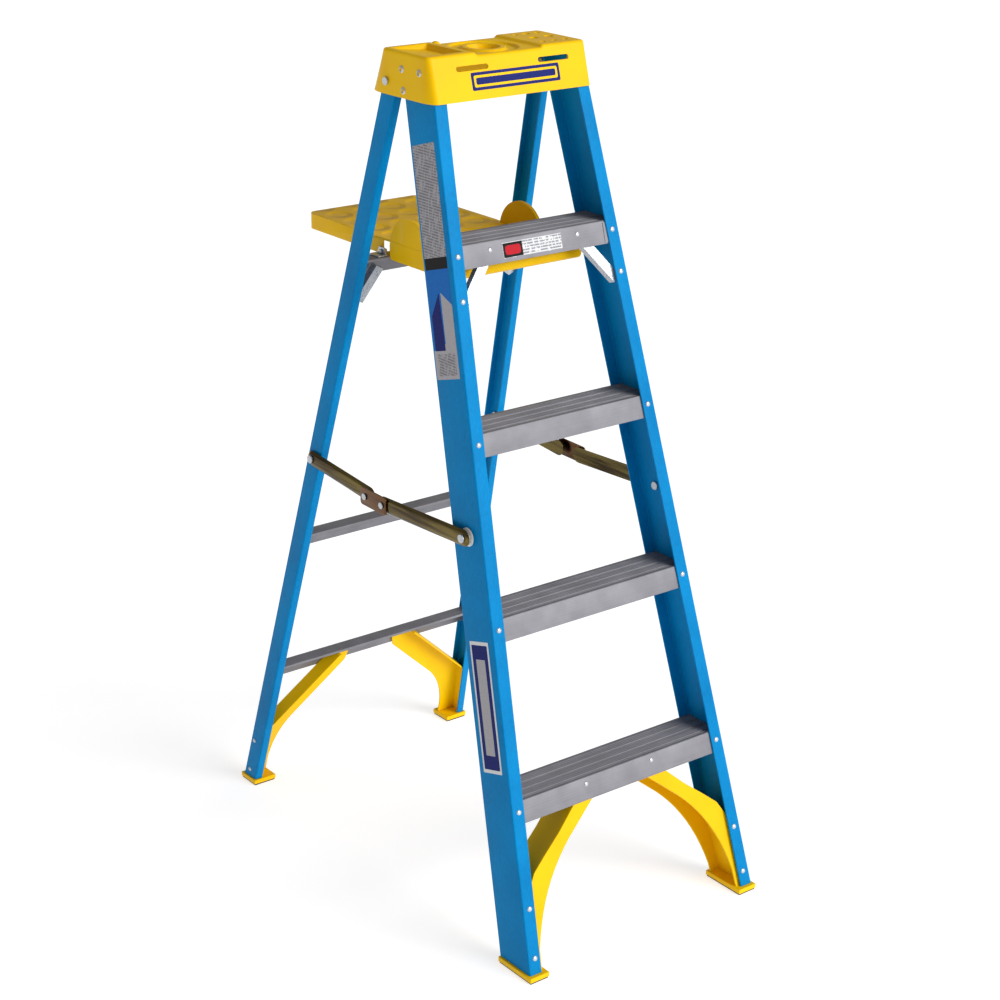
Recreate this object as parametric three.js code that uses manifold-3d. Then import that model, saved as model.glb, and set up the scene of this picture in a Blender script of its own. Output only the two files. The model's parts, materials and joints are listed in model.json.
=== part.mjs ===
// Five-foot fibreglass step ladder with a pail shelf, standing open.
// Millimetres, +Z up, X across the treads, the climbing side towards -Y.
// The origin is on the floor, at the middle of the four feet.
import * as THREE from 'three';
import { mergeVertices } from 'three/addons/utils/BufferGeometryUtils.js';
import Module from 'manifold-3d';

const wasm = await Module();
wasm.setup();

// ---- Driving dimensions -------------------------------------------------
const DEGREE = Math.PI / 180;
const FRONT_SLOPE = 16.06 * DEGREE; // front rails lean back from vertical
const REAR_SLOPE = 14.51 * DEGREE; // rear rails lean forward from vertical
const REAR_FOOT_Y = 866; // front face of the rear rails at the floor, from that of the front rails
const FOOT_FRONT_Y = -3.5; // front edge of the front soles
const FOOT_REAR_Y = 908.5; // rear edge of the rear soles
const BASE_HALF_WIDTH = 254; // rails' outer faces at the floor
const FRONT_TAPER = 0.067; // half width lost for each millimetre of height
const REAR_TAPER = 0.0653;
const CLEARANCE = 0.35; // gap between touching pieces

const FRONT_RAIL = { depth: 79, flange: 25, wall: 3.2, bottom: 11.8, top: 1440 };
const REAR_RAIL = { depth: 38.5, flange: 16, wall: 3.2, bottom: 11.8, top: 1428 };

const STEP_RISE = 293;
const FIRST_STEP_TOP = 291;
const STEP_COUNT = 4;
const TREAD = { skirt: 37.8, sheet: 2.5, ribs: 12, ribHeight: 1.2, nosing: 7 };

const HORIZONTAL = { drop: 36, lip: 5.2, sheet: 2.2 };
const HORIZONTAL_TOPS = { lower: 267, middle: 557, upper: 1096 };

const CAP = { bottom: 1389, top: 1462, wall: 3.5 };
const CAP_PIVOT = { y: 525, z: 1410 };
const PIN_RADIUS = 4;
const HOLE_RADIUS = 4.4;

const SPREADER = {
  frontPin: [243.5, 709.5],
  rearPin: [701, 713.5],
  linkFront: [469.5, 698],
  linkRear: [520, 699],
  armWidth: 29,
  armDepth: 5,
  sheet: 1.6,
  linkWidth: 33,
  linkSheet: 2.4,
  innerFace: 209.4,
};

const SHELF = {
  halfWidth: 122, rear: 838, deckFront: 598, deckTop: 1125, skirtBottom: 1097.2, wall: 3.2,
  earCentre: [524, 1113], earRadius: 59, earBottom: 1092, earThickness: 6.5,
  rollCentre: [383, 1113], rollRadius: 12.5, rollHalf: 128,
};
const SHELF_PIVOT = { y: 603, z: 1102, boss: 5.4 };
const SHELF_PIN_RADIUS = 2.8;
const SHELF_BOLT_HEAD = 4.3;

const COLOURS = {
  railBlue: { color: 0x0a82cf, roughness: 0.42, metalness: 0 },
  mouldedYellow: { color: 0xffd400, roughness: 0.45, metalness: 0 },
  millAluminium: { color: 0x9b9ba0, roughness: 0.4, metalness: 1 },
  galvanised: { color: 0xb9bec4, roughness: 0.35, metalness: 1 },
  yellowZinc: { color: 0x8a7442, roughness: 0.35, metalness: 1 },
  blackRubber: { color: 0x1c1c1e, roughness: 0.85, metalness: 0 },
  whiteNylon: { color: 0xe8e8e6, roughness: 0.5, metalness: 0 },
};

// ---- Turning geometry into solids and back ------------------------------
function toSolid(geometry) {
  const bare = geometry.clone();
  bare.deleteAttribute('normal');
  bare.deleteAttribute('uv');
  const merged = mergeVertices(bare, 1e-4);
  return new wasm.Manifold(new wasm.Mesh({
    numProp: 3,
    vertProperties: new Float32Array(merged.attributes.position.array),
    triVerts: new Uint32Array(merged.index.array),
  }));
}

function toGeometry(solid) {
  const mesh = solid.getMesh();
  const geometry = new THREE.BufferGeometry();
  geometry.setAttribute('position', new THREE.BufferAttribute(new Float32Array(mesh.vertProperties), 3));
  geometry.setIndex(new THREE.BufferAttribute(new Uint32Array(mesh.triVerts), 1));
  geometry.computeVertexNormals();
  return geometry;
}

// ---- Shapes -------------------------------------------------------------
function polygon(points) {
  return new THREE.Shape(points.map(([a, b]) => new THREE.Vector2(a, b)));
}

// An outline in X and Y, extruded from z = low to z = high.
function prismZ(shape, low, high, curveSegments = 10) {
  const geometry = new THREE.ExtrudeGeometry(shape, { depth: high - low, bevelEnabled: false, curveSegments });
  return toSolid(geometry.translate(0, 0, low));
}

// An outline in Y and Z, extruded from x = low to x = high.
const ACROSS = new THREE.Matrix4().makeBasis(
  new THREE.Vector3(0, 1, 0),
  new THREE.Vector3(0, 0, 1),
  new THREE.Vector3(1, 0, 0),
);
function prismX(shape, low, high, curveSegments = 10) {
  const geometry = new THREE.ExtrudeGeometry(shape, { depth: high - low, bevelEnabled: false, curveSegments });
  return toSolid(geometry.applyMatrix4(ACROSS).translate(low, 0, 0));
}

// A round bar along X, centred on [y, z].
function barX(radius, [y, z], low, high, sides = 16) {
  const geometry = new THREE.CylinderGeometry(radius, radius, high - low, sides);
  return toSolid(geometry.rotateZ(Math.PI / 2).translate((low + high) / 2, y, z));
}

// A round bar along Z, centred on [x, y].
function barZ(radius, [x, y], low, high, sides = 24) {
  const geometry = new THREE.CylinderGeometry(radius, radius, high - low, sides);
  return toSolid(geometry.rotateX(Math.PI / 2).translate(x, y, (low + high) / 2));
}

function box(low, high) {
  const size = high.map((value, axis) => value - low[axis]);
  const geometry = new THREE.BoxGeometry(...size);
  return toSolid(geometry.translate(...low.map((value, axis) => value + size[axis] / 2)));
}

// A span in x, mirrored to the wanted side and put in rising order.
function span(side, inner, outer) {
  return side > 0 ? [inner, outer] : [-outer, -inner];
}

// ---- Where the rails are at each height ---------------------------------
const frontFaceY = (z) => z * Math.tan(FRONT_SLOPE);
const rearFaceY = (z) => REAR_FOOT_Y - z * Math.tan(REAR_SLOPE);
const frontHalfWidth = (z) => BASE_HALF_WIDTH - z * FRONT_TAPER;
const rearHalfWidth = (z) => BASE_HALF_WIDTH - z * REAR_TAPER;

// A rail plane's own frame: x across, y up the rail, z forward out of the rail's front face.
function railPlane(slope, footY) {
  const along = new THREE.Vector3(0, Math.sin(slope), Math.cos(slope));
  const forward = new THREE.Vector3(0, -Math.cos(slope), Math.sin(slope));
  const plane = new THREE.Matrix4().makeBasis(new THREE.Vector3(1, 0, 0), along, forward);
  return plane.setPosition(0, footY, 0);
}
const FRONT_PLANE = railPlane(FRONT_SLOPE, 0);
const REAR_PLANE = railPlane(-REAR_SLOPE, REAR_FOOT_Y);

// An outline in a rail plane, mirrored for the left side, from one depth behind the front face to another.
function railPlate(plane, side, shape, nearDepth, farDepth, curveSegments = 10) {
  const options = { depth: farDepth - nearDepth, bevelEnabled: false, curveSegments };
  const geometry = new THREE.ExtrudeGeometry(shape, options).translate(0, 0, -farDepth);
  const solid = toSolid(geometry);
  const sided = side > 0 ? solid : solid.mirror([1, 0, 0]);
  return sided.transform(plane.elements);
}

// ---- Rails: channels with the web outside and the flanges pointing in ---
function railSolid(side, rail, slope, taper, footY) {
  const depth = rail.depth / Math.cos(slope);
  const wall = rail.wall / Math.cos(slope);
  const outer = BASE_HALF_WIDTH;
  const web = outer - rail.wall;
  const tip = outer - rail.flange;
  const outline = polygon([
    [outer, 0], [outer, depth], [tip, depth], [tip, depth - wall],
    [web, depth - wall], [web, wall], [tip, wall], [tip, 0],
  ].map(([x, y]) => [side * x, y]));
  const lean = Math.tan(slope);
  const shear = new THREE.Matrix4().set(1, 0, -side * taper, 0, 0, 1, lean, footY, 0, 0, 1, 0, 0, 0, 0, 1);
  return prismZ(outline, rail.bottom, rail.top).transform(shear.elements);
}

function frontRail(side) {
  const rail = railSolid(side, FRONT_RAIL, FRONT_SLOPE, FRONT_TAPER, 0);
  const [low, high] = span(side, 190, 230);
  return rail.subtract(barX(HOLE_RADIUS, SPREADER.frontPin, low, high));
}

function rearRail(side) {
  const rail = railSolid(side, REAR_RAIL, -REAR_SLOPE, REAR_TAPER, REAR_FOOT_Y);
  const [low, high] = span(side, 190, 230);
  const [pivotLow, pivotHigh] = span(side, 150, 175);
  return rail
    .subtract(barX(HOLE_RADIUS, SPREADER.rearPin, low, high))
    .subtract(barX(HOLE_RADIUS, [CAP_PIVOT.y, CAP_PIVOT.z], pivotLow, pivotHigh));
}

// ---- Treads: ribbed tops with skirts that follow the rails' slope -------
function tread(index) {
  const top = FIRST_STEP_TOP + index * STEP_RISE;
  const scale = 1 / Math.cos(FRONT_SLOPE);
  const lean = Math.tan(FRONT_SLOPE);
  const front = frontFaceY(top) + (FRONT_RAIL.wall + CLEARANCE) * scale;
  const rear = frontFaceY(top) + (FRONT_RAIL.depth - FRONT_RAIL.wall - CLEARANCE) * scale;
  const bottom = top - TREAD.skirt;
  const sheet = TREAD.sheet * scale;
  const drop = (y, z) => [y - (top - z) * lean, z];
  const pitch = (rear - front - 2 * TREAD.nosing) / TREAD.ribs;
  const outline = [[front, top]];
  for (let rib = 0; rib < TREAD.ribs; rib += 1) {
    const start = front + TREAD.nosing + rib * pitch;
    outline.push([start, top]);
    outline.push([start + 0.2 * pitch, top - TREAD.ribHeight]);
    outline.push([start + 0.5 * pitch, top - TREAD.ribHeight]);
    outline.push([start + 0.7 * pitch, top]);
  }
  outline.push([rear, top], drop(rear, bottom), drop(rear - sheet, bottom));
  const underside = top - TREAD.sheet - TREAD.ribHeight;
  outline.push(drop(rear - sheet, underside), drop(front + sheet, underside));
  outline.push(drop(front + sheet, bottom), drop(front, bottom));
  const half = frontHalfWidth(top) - FRONT_RAIL.wall - CLEARANCE;
  return prismX(polygon(outline), -half, half);
}

// ---- Rear horizontals: level ledge, small front lip, deep rear web ------
function horizontal(top) {
  const scale = 1 / Math.cos(REAR_SLOPE);
  const lean = Math.tan(REAR_SLOPE);
  const front = rearFaceY(top) + (REAR_RAIL.wall + CLEARANCE) * scale;
  const rear = rearFaceY(top) + (REAR_RAIL.depth - REAR_RAIL.wall - CLEARANCE) * scale;
  const sheet = HORIZONTAL.sheet;
  const drop = (y, depth) => [y + depth * lean, top - depth];
  const outline = [
    [front, top], drop(front, HORIZONTAL.lip), drop(front + sheet, HORIZONTAL.lip),
    drop(front + sheet, sheet), drop(rear - sheet, sheet), drop(rear - sheet, HORIZONTAL.drop),
    drop(rear, HORIZONTAL.drop), [rear, top],
  ];
  const half = rearHalfWidth(top) - REAR_RAIL.wall - CLEARANCE;
  return prismX(polygon(outline), -half, half);
}

// ---- Front foot braces: curved channel knee and sole in one moulding ----
const FRONT_BRACE = { nearDepth: 6.5, farDepth: 72.4, wall: 3.4 };
const SOLE = { bottom: 2.9, top: 11.4 };

// The knee's outer edge in the rail plane, from under the step down to the foot.
const KNEE_EDGE = [[90, 288], [90, 277], [142, 229], [181, 198], [207, 176], [229, 140], [238, 100], [247.5, 5]];

function frontBraceShape() {
  const shape = new THREE.Shape();
  shape.moveTo(50, 288);
  shape.lineTo(50, 274);
  shape.lineTo(124, 212);
  shape.quadraticCurveTo(196, 148, 219.5, 47);
  shape.lineTo(223, 5);
  for (const [x, along] of KNEE_EDGE.slice().reverse()) {
    shape.lineTo(x, along);
  }
  return shape;
}

function frontFootBrace(side) {
  const { nearDepth, farDepth, wall } = FRONT_BRACE;
  const body = railPlate(FRONT_PLANE, side, frontBraceShape(), nearDepth, farDepth);
  const inside = KNEE_EDGE.map(([x, along]) => [x - wall * 0.9, along - wall * 0.9]);
  const hollow = polygon([[0, 300], [86.9, 300], ...inside, [244, -30], [0, -30]]);
  const cut = railPlate(FRONT_PLANE, side, hollow, nearDepth + wall, farDepth - wall);
  const below = box([-300, -50, -60], [300, 150, 8]);
  const [low, high] = span(side, 217.5, 257.5);
  const sole = box([low, FOOT_FRONT_Y, SOLE.bottom], [high, 84.5, SOLE.top]);
  return body.subtract(cut).subtract(below).add(sole);
}

// ---- Rear foot braces: flat web with a strap on its outer edge, and sole -
const REAR_BRACE = { nearDepth: 4, webDepth: 28.6, farDepth: 31.8, strap: 3.2 };

function rearBraceShape() {
  const shape = new THREE.Shape();
  shape.moveTo(53, 262);
  shape.lineTo(53, 240);
  shape.lineTo(58, 225);
  shape.lineTo(158, 131);
  shape.quadraticCurveTo(203, 92, 209.5, 28);
  shape.lineTo(210, 5);
  shape.lineTo(249.6, 5);
  shape.lineTo(241.6, 121);
  shape.lineTo(90, 262);
  return shape;
}

function rearFootBrace(side) {
  const { nearDepth, webDepth, farDepth, strap } = REAR_BRACE;
  const web = railPlate(REAR_PLANE, side, rearBraceShape(), webDepth, farDepth);
  const edge = polygon([
    [249.6, 5], [241.6, 121], [90, 262], [90 - 1.4 * strap, 262], [241.6 - strap, 121 - 0.4 * strap],
    [249.6 - strap, 5],
  ]);
  const strapSolid = railPlate(REAR_PLANE, side, edge, nearDepth, farDepth);
  const below = box([-300, 820, -60], [300, 950, 8]);
  const [low, high] = span(side, 209, 256.5);
  const sole = box([low, 859.5, SOLE.bottom], [high, FOOT_REAR_Y, SOLE.top]);
  return web.add(strapSolid).subtract(below).add(sole);
}

function footPad(side, inner, outer, near, far) {
  const [low, high] = span(side, inner, outer);
  return box([low, near, 0], [high, far, SOLE.bottom - CLEARANCE]);
}

// ---- Sloping galvanised struts: thin channels across a corner -----------
// The bar's back is a plate facing forward, and its two edges turn back from it.
function cornerStrut(plane, side, [topX, topS], [endX, endS], nearDepth) {
  const strut = { half: 9, sheet: 2, edge: 13 };
  const length = Math.hypot(endX - topX, endS - topS);
  const angle = Math.atan2(endS - topS, endX - topX);
  const place = (geometry) => {
    const turned = geometry.rotateZ(angle).translate(topX, topS, 0);
    const solid = toSolid(turned);
    return (side > 0 ? solid : solid.mirror([1, 0, 0])).transform(plane.elements);
  };
  const bar = (low, high, near, far) => {
    const geometry = new THREE.BoxGeometry(length, high - low, far - near);
    return place(geometry.translate(length / 2, (low + high) / 2, -(near + far) / 2));
  };
  const { half, sheet, edge } = strut;
  return bar(-half, half, nearDepth, nearDepth + sheet)
    .add(bar(-half, -half + sheet, nearDepth, nearDepth + edge))
    .add(bar(half - sheet, half, nearDepth, nearDepth + edge));
}

// ---- Top cap: a sloped, hollow moulding over the ends of all four rails --
function capBlock(inset, bottom, top) {
  const t = (z) => (z - CAP.bottom) / (CAP.top - CAP.bottom);
  const halfX = (z) => 168.5 - 5.5 * t(z) - inset;
  const frontY = (z) => frontFaceY(z) - 4.6 + inset;
  const rearY = (z) => 572 - 29 * t(z) - inset;
  const corners = (z) => [
    [-halfX(z), frontY(z), z], [halfX(z), frontY(z), z], [halfX(z), rearY(z), z], [-halfX(z), rearY(z), z],
  ];
  const positions = new Float32Array([...corners(bottom), ...corners(top)].flat());
  const faces = [0, 2, 1, 0, 3, 2, 4, 5, 6, 4, 6, 7, 0, 1, 5, 0, 5, 4, 1, 2, 6, 1, 6, 5, 2, 3, 7, 2, 7, 6, 3, 0, 4, 3, 4, 7];
  return new wasm.Manifold(new wasm.Mesh({
    numProp: 3, vertProperties: positions, triVerts: new Uint32Array(faces),
  }));
}

const CAN_RING = { x: 0, y: 479, radius: 58, groove: 7, depth: 2.2 };
const DECK_DIP = 4;

function topCap() {
  let cap = capBlock(0, CAP.bottom, CAP.top).subtract(capBlock(CAP.wall, CAP.bottom - 5, CAP.top - DECK_DIP - 6));
  // the middle of the deck is lower than its two ends
  cap = cap.subtract(box([-66, 380, CAP.top - DECK_DIP], [70, 600, CAP.top + 5]));
  const { x, y, radius, groove, depth } = CAN_RING;
  const floor = CAP.top - DECK_DIP - depth;
  const ring = barZ(radius, [x, y], floor, CAP.top, 40).subtract(barZ(radius - groove, [x, y], 0, 2000, 40));
  cap = cap.subtract(ring).subtract(barZ(radius - 2 * groove, [x, y], floor, CAP.top, 32));
  // tray at the left end
  cap = cap.subtract(box([-150, 434, CAP.top - 5], [-84, 528, CAP.top + 5]));
  // tool holes through the right end
  for (const [holeX, holeY, holeRadius] of TOOL_HOLES) {
    cap = cap.subtract(barZ(holeRadius, [holeX, holeY], CAP.top - 20, CAP.top + 5, 12));
  }
  // two hanging slots through the front wall
  for (const [slotLow, slotHigh] of CAP_SLOTS) {
    cap = cap.subtract(box([slotLow, 390, SLOT_HEIGHT - 4], [slotHigh, 425, SLOT_HEIGHT + 4]));
  }
  for (const side of [-1, 1]) {
    const [low, high] = span(side, 150, 180);
    cap = cap.subtract(barX(HOLE_RADIUS, [CAP_PIVOT.y, CAP_PIVOT.z], low, high));
  }
  return cap;
}

const TOOL_HOLES = [
  [92, 440, 5], [116, 440, 5], [140, 440, 5],
  [104, 479, 8], [136, 479, 8],
  [96, 518, 5], [118, 518, 6.5], [142, 518, 5],
];
const CAP_SLOTS = [[-111, -46], [57, 122]];
const SLOT_HEIGHT = 1438;

// ---- Headed pins along X ------------------------------------------------
// The shank runs from the inner to the outer x, with a flat head of 3 mm past each end.
function headedPin(side, radius, headRadius, centre, inner, outer) {
  const [low, high] = span(side, inner, outer);
  return barX(radius, centre, low - 1, high + 1)
    .add(barX(headRadius, centre, low - 3, low))
    .add(barX(headRadius, centre, high, high + 3));
}

function spacerRing(side, radius, centre, inner, outer) {
  const [low, high] = span(side, inner, outer);
  return barX(radius, centre, low, high, 20).subtract(barX(HOLE_RADIUS, centre, low - 1, high + 1));
}

// ---- Folding spreaders, outside the rails -------------------------------
// Three layers out from the rail: rear arm, front arm, centre link.
const REAR_ARM_X = SPREADER.innerFace;
const FRONT_ARM_X = REAR_ARM_X + SPREADER.armDepth + CLEARANCE;
const LINK_X = FRONT_ARM_X + SPREADER.armDepth + CLEARANCE;

// A round-ended bar outline between two pivot points in Y and Z.
function barShape([y0, z0], [y1, z1], halfWidth, overrun = 0) {
  const angle = Math.atan2(z1 - z0, y1 - y0);
  const shape = new THREE.Shape();
  const quarter = Math.PI / 2;
  const tip = (y, z, sign) => [y + sign * overrun * Math.cos(angle), z + sign * overrun * Math.sin(angle)];
  shape.absarc(...tip(y1, z1, 1), halfWidth, angle - quarter, angle + quarter, false);
  shape.absarc(...tip(y0, z0, -1), halfWidth, angle + quarter, angle + 3 * quarter, false);
  return shape;
}

// A rolled arm: the back faces out, and the two long edges turn in towards the rail.
function spreaderArm(side, start, end, innerX) {
  const { armWidth, armDepth, sheet } = SPREADER;
  const [low, high] = span(side, innerX, innerX + armDepth);
  const body = prismX(barShape(start, end, armWidth / 2), low, high, 6);
  const [pocketLow, pocketHigh] = span(side, innerX - 1, innerX + armDepth - sheet);
  const pocket = prismX(barShape(start, end, armWidth / 2 - sheet), pocketLow, pocketHigh, 6);
  const holes = [start, end].map((centre) => barX(HOLE_RADIUS, centre, low - 1, high + 1));
  return body.subtract(pocket).subtract(holes[0]).subtract(holes[1]);
}

function spreaderLink(side) {
  const { linkFront, linkRear, linkWidth, linkSheet } = SPREADER;
  const [low, high] = span(side, LINK_X, LINK_X + linkSheet);
  const plate = prismX(barShape(linkFront, linkRear, linkWidth / 2, 2), low, high, 6);
  return plate
    .subtract(barX(HOLE_RADIUS, linkFront, low - 1, high + 1))
    .subtract(barX(HOLE_RADIUS, linkRear, low - 1, high + 1));
}

// The link's front rivet joins it to the front arm, with its inner head in the arm's channel.
function linkFrontRivet(side) {
  const centre = SPREADER.linkFront;
  const { armDepth, sheet, linkSheet } = SPREADER;
  const channelFloor = FRONT_ARM_X + armDepth - sheet;
  const [low, high] = span(side, channelFloor - 1.4, LINK_X + linkSheet + 1.2);
  const [innerLow, innerHigh] = span(side, channelFloor - 2.4, channelFloor - CLEARANCE);
  const [headLow, headHigh] = span(side, LINK_X + linkSheet + CLEARANCE, LINK_X + linkSheet + 2.4);
  return barX(PIN_RADIUS, centre, low, high)
    .add(barX(6, centre, innerLow, innerHigh))
    .add(barX(6, centre, headLow, headHigh));
}

// The link's rear rivet stops short of the rear arm, where the closed linkage is opened.
function linkRearRivet(side) {
  const centre = SPREADER.linkRear;
  const [low, high] = span(side, LINK_X, LINK_X + SPREADER.linkSheet + 2.2);
  const [headLow, headHigh] = span(side, LINK_X + SPREADER.linkSheet + CLEARANCE, LINK_X + SPREADER.linkSheet + 2.4);
  return barX(PIN_RADIUS, centre, low, high).add(barX(6, centre, headLow, headHigh));
}

// ---- Pail shelf: skirted deck, two round ears, front pan and roll --------
function deckShape(inset, near) {
  const { halfWidth, rear } = SHELF;
  const radius = 16 - inset;
  const x = halfWidth - inset;
  const far = rear - inset;
  const shape = new THREE.Shape();
  shape.moveTo(-x, near);
  shape.lineTo(x, near);
  shape.lineTo(x, far - radius);
  shape.absarc(x - radius, far - radius, radius, 0, Math.PI / 2, false);
  shape.absarc(-x + radius, far - radius, radius, Math.PI / 2, Math.PI, false);
  return shape;
}

function earShape() {
  const [y, z] = SHELF.earCentre;
  const sink = Math.asin((z - SHELF.earBottom) / SHELF.earRadius);
  const shape = new THREE.Shape();
  shape.absarc(y, z, SHELF.earRadius, -sink, Math.PI + sink, false);
  return shape;
}

function panShape() {
  const shape = new THREE.Shape();
  shape.moveTo(604, SHELF.deckTop - SHELF.wall);
  shape.lineTo(604, SHELF.deckTop);
  shape.lineTo(566, SHELF.deckTop);
  shape.quadraticCurveTo(552, 1124, 547, 1112);
  shape.quadraticCurveTo(541, 1097, 520, 1095);
  shape.lineTo(400, 1105);
  shape.lineTo(390, 1108);
  shape.lineTo(388, 1102);
  shape.lineTo(398, 1100.5);
  shape.lineTo(520, 1091);
  shape.quadraticCurveTo(544, 1093, 551, 1110);
  shape.quadraticCurveTo(555, 1120, 566, SHELF.deckTop - SHELF.wall);
  return shape;
}

function pailShelf() {
  const { halfWidth, deckFront, deckTop, skirtBottom, wall, earThickness } = SHELF;
  let shelf = prismZ(deckShape(0, deckFront), skirtBottom, deckTop, 6)
    .subtract(prismZ(deckShape(wall, deckFront - 10), skirtBottom - 1, deckTop - wall, 6));
  shelf = shelf.add(prismX(panShape(), -halfWidth + 1, halfWidth - 1, 6));
  for (const side of [-1, 1]) {
    const [low, high] = span(side, halfWidth - earThickness, halfWidth);
    shelf = shelf.add(prismX(earShape(), low, high, 18));
    // cheek between the ear and the roll
    shelf = shelf.add(prismX(polygon([[470, 1092.5], [470, 1118], [392, 1120], [384, 1101]]), low, high));
    // the skirt's front end is round about the pivot, so that it turns clear of the horizontal
    const { y, z, boss } = SHELF_PIVOT;
    const [holeLow, holeHigh] = span(side, halfWidth - wall - 0.4, halfWidth + 1);
    const [bossLow, bossHigh] = span(side, halfWidth - wall, halfWidth);
    shelf = shelf
      .subtract(box([holeLow, deckFront - 10, skirtBottom - 5], [holeHigh, y, deckTop - wall]))
      .add(barX(boss, [y, z], bossLow, bossHigh, 20))
      .subtract(barX(SHELF_PIN_RADIUS + 0.4, [y, z], holeLow, holeHigh, 12));
  }
  return shelf.add(barX(SHELF.rollRadius, SHELF.rollCentre, -SHELF.rollHalf, SHELF.rollHalf, 20));
}

// A folded bracket on the upper horizontal that holds the shelf's pivot bolt.
function shelfBracket(side) {
  const top = HORIZONTAL_TOPS.upper + CLEARANCE;
  const ear = { inner: SHELF.halfWidth + 0.6, outer: SHELF.halfWidth + 3.2 };
  const [low, high] = span(side, ear.inner, ear.outer);
  const [baseLow, baseHigh] = span(side, ear.inner, ear.outer + 16);
  const { y, z } = SHELF_PIVOT;
  const wing = prismX(polygon([[y - 14, top], [y + 14, top], [y + 8, z + 8], [y - 8, z + 8]]), low, high);
  const [headLow, headHigh] = span(side, ear.outer, ear.outer + 5);
  const headSpace = box([headLow, y - 6, top - 1], [headHigh, y + 6, top + 5]);
  const base = box([baseLow, y - 14, top], [baseHigh, y + 14, top + 2.4]).subtract(headSpace);
  return wing.add(base).subtract(barX(SHELF_PIN_RADIUS + 0.4, [y, z], low - 1, high + 1, 12));
}

// ---- Assembly -----------------------------------------------------------
const ladder = new THREE.Group();
ladder.position.y = -(FOOT_FRONT_Y + FOOT_REAR_Y) / 2;

function addPiece(name, solid, colour) {
  const mesh = new THREE.Mesh(toGeometry(solid), new THREE.MeshStandardMaterial(colour));
  mesh.name = name;
  ladder.add(mesh);
}

for (const [sideName, side] of [['left', -1], ['right', 1]]) {
  addPiece(`front_rail_${sideName}`, frontRail(side), COLOURS.railBlue);
  addPiece(`rear_rail_${sideName}`, rearRail(side), COLOURS.railBlue);
  addPiece(`front_foot_brace_${sideName}`, frontFootBrace(side), COLOURS.mouldedYellow);
  addPiece(`rear_foot_brace_${sideName}`, rearFootBrace(side), COLOURS.mouldedYellow);
  addPiece(`front_foot_pad_${sideName}`, footPad(side, 219, 256, FOOT_FRONT_Y + 1.5, 83), COLOURS.blackRubber);
  addPiece(`rear_foot_pad_${sideName}`, footPad(side, 210.5, 255, 861, FOOT_REAR_Y - 1.5), COLOURS.blackRubber);
  const stepStrut = cornerStrut(FRONT_PLANE, side, [98, 1196], [162, 1118], 6.6);
  addPiece(`top_step_strut_${sideName}`, stepStrut, COLOURS.galvanised);
  const shelfStrut = cornerStrut(REAR_PLANE, side, [134, 1111], [168, 1050], 7);
  addPiece(`shelf_strut_${sideName}`, shelfStrut, COLOURS.galvanised);
  addPiece(`shelf_bracket_${sideName}`, shelfBracket(side), COLOURS.galvanised);

  const shelfPivot = [SHELF_PIVOT.y, SHELF_PIVOT.z];
  const boltSpan = [SHELF.halfWidth - 3.6, SHELF.halfWidth + 3.6];
  const shelfBolt = headedPin(side, SHELF_PIN_RADIUS, SHELF_BOLT_HEAD, shelfPivot, ...boltSpan);
  addPiece(`shelf_pivot_bolt_${sideName}`, shelfBolt, COLOURS.galvanised);

  const capPivot = [CAP_PIVOT.y, CAP_PIVOT.z];
  addPiece(`cap_pivot_pin_${sideName}`, headedPin(side, PIN_RADIUS, 7, capPivot, 157.6, 167.6), COLOURS.galvanised);

  const { frontPin, rearPin, linkFront, linkRear, armDepth } = SPREADER;
  addPiece(`spreader_front_arm_${sideName}`, spreaderArm(side, frontPin, linkFront, FRONT_ARM_X), COLOURS.yellowZinc);
  addPiece(`spreader_rear_arm_${sideName}`, spreaderArm(side, rearPin, linkRear, REAR_ARM_X), COLOURS.yellowZinc);
  addPiece(`spreader_link_${sideName}`, spreaderLink(side), COLOURS.yellowZinc);
  addPiece(`link_front_rivet_${sideName}`, linkFrontRivet(side), COLOURS.galvanised);
  addPiece(`link_rear_rivet_${sideName}`, linkRearRivet(side), COLOURS.galvanised);

  const frontPost = headedPin(side, PIN_RADIUS, 7.5, frontPin, 202.4, FRONT_ARM_X + armDepth + CLEARANCE);
  addPiece(`spreader_front_pin_${sideName}`, frontPost, COLOURS.galvanised);
  const rearPost = headedPin(side, PIN_RADIUS, 7.5, rearPin, 203.2, REAR_ARM_X + armDepth + CLEARANCE);
  addPiece(`spreader_rear_pin_${sideName}`, rearPost, COLOURS.galvanised);
  const frontSpacer = spacerRing(side, 8, frontPin, 207.6, FRONT_ARM_X + armDepth - SPREADER.sheet - CLEARANCE);
  addPiece(`spreader_front_spacer_${sideName}`, frontSpacer, COLOURS.whiteNylon);
  const rearSpacer = spacerRing(side, 8, rearPin, 208.8, REAR_ARM_X + armDepth - SPREADER.sheet - CLEARANCE);
  addPiece(`spreader_rear_spacer_${sideName}`, rearSpacer, COLOURS.whiteNylon);
}

for (let index = 0; index < STEP_COUNT; index += 1) {
  addPiece(`step_${index + 1}`, tread(index), COLOURS.millAluminium);
}
for (const [place, top] of Object.entries(HORIZONTAL_TOPS)) {
  addPiece(`rear_horizontal_${place}`, horizontal(top), COLOURS.millAluminium);
}
addPiece('top_cap', topCap(), COLOURS.mouldedYellow);
addPiece('pail_shelf', pailShelf(), COLOURS.mouldedYellow);

export default ladder;
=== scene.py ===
"""A five-foot fibreglass step ladder with a pail shelf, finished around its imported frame."""
import json
import math

import bmesh
import bpy
import numpy as np
from mathutils import Matrix, Vector

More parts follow.
